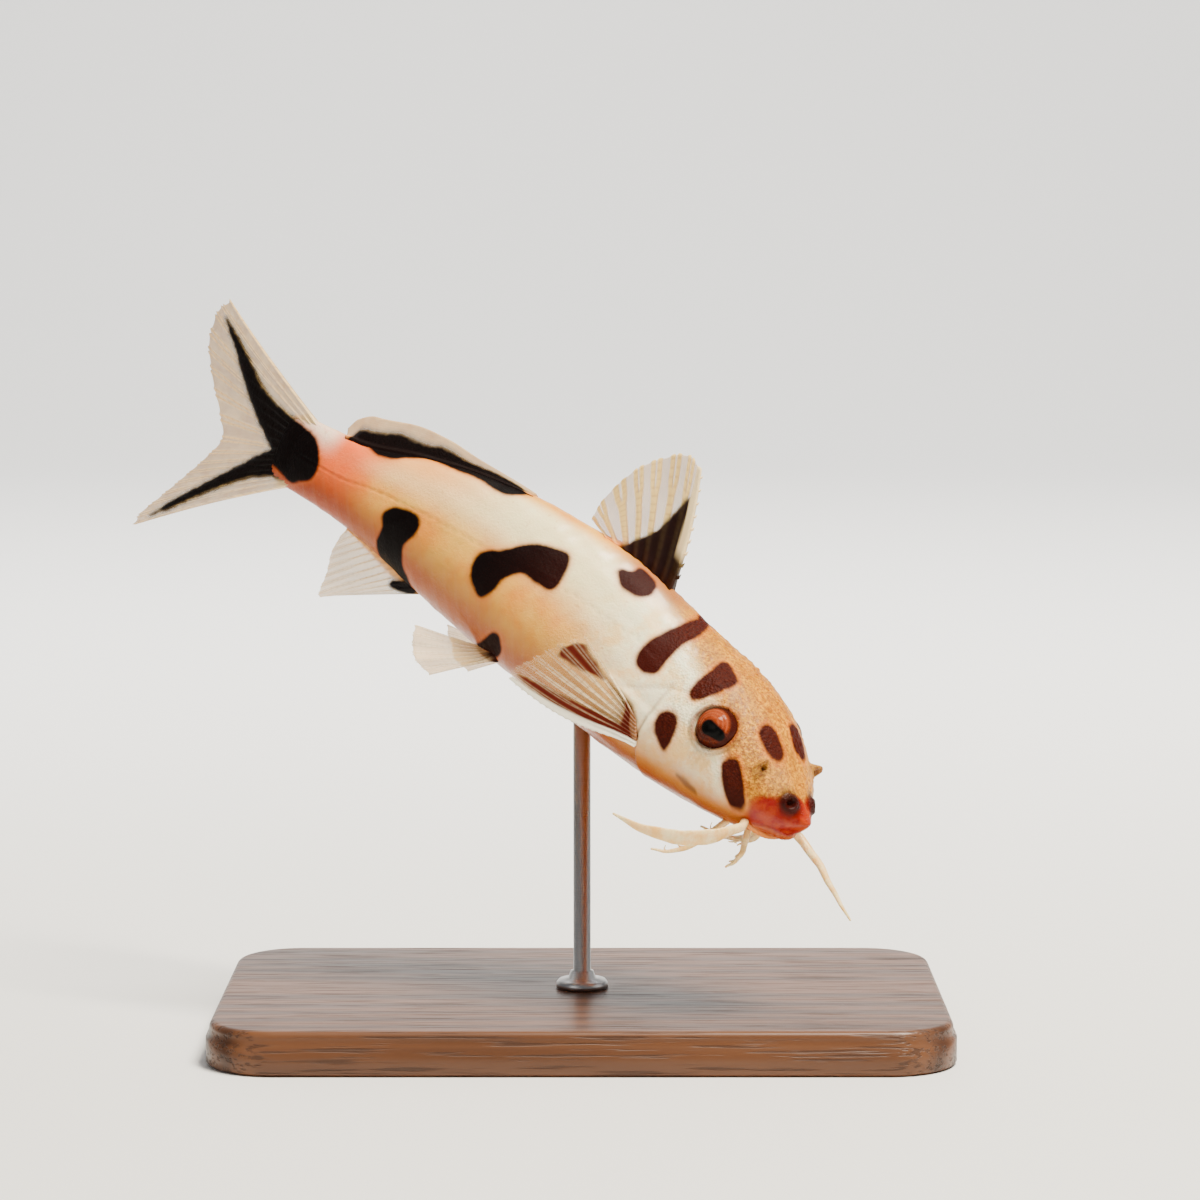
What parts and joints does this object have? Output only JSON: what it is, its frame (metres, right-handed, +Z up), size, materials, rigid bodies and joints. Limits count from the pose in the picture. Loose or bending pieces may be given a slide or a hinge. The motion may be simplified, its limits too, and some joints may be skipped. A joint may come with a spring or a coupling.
{
  "type": "polli squeaker catfish on a display stand",
  "caption": "Life-size spotted squeaker catfish, diving in a gentle bend, with spread fins and whisker-like barbels, on a flat base with a short rod.",
  "frame": {"origin": "centre of the stand's underside, on the surface it stands on, straight below the rod", "axes": "+Z up; +X along the base's long side, towards the fish's head; -Y towards the viewer, who sees the fish's right side"},
  "size_m": [0.0975, 0.059, 0.0839],
  "materials": {
    "skin": "moist painted skin, cream and peach with dark red-brown blotches",
    "fin": "thin clear cream membrane over paler rays, with dark blotches",
    "barbel": "pale cream, moist",
    "eye": "wet red-brown iris with a black pupil",
    "stand_base": "dark satin-varnished wood",
    "stand_rod": "fine brushed steel"
  },
  "bodies": {
    "root": {"head": "skin", "trunk": "skin", "tail_stem": "skin", "dorsal_fin": "fin", "adipose_fin": "skin", "caudal_fin": "fin", "anal_fin": "fin", "pelvic_fin_right": "fin", "pelvic_fin_left": "fin", "pectoral_fin_right": "fin", "pectoral_fin_left": "fin", "eye_right": "eye", "eye_left": "eye", "maxillary_barbel_right": "barbel", "maxillary_barbel_left": "barbel", "outer_mandibular_barbel_right": "barbel", "outer_mandibular_barbel_left": "barbel", "inner_mandibular_barbel_right": "barbel", "inner_mandibular_barbel_left": "barbel", "stand_base": "stand_base", "stand_rod": "stand_rod"}
  },
  "joints": []
}
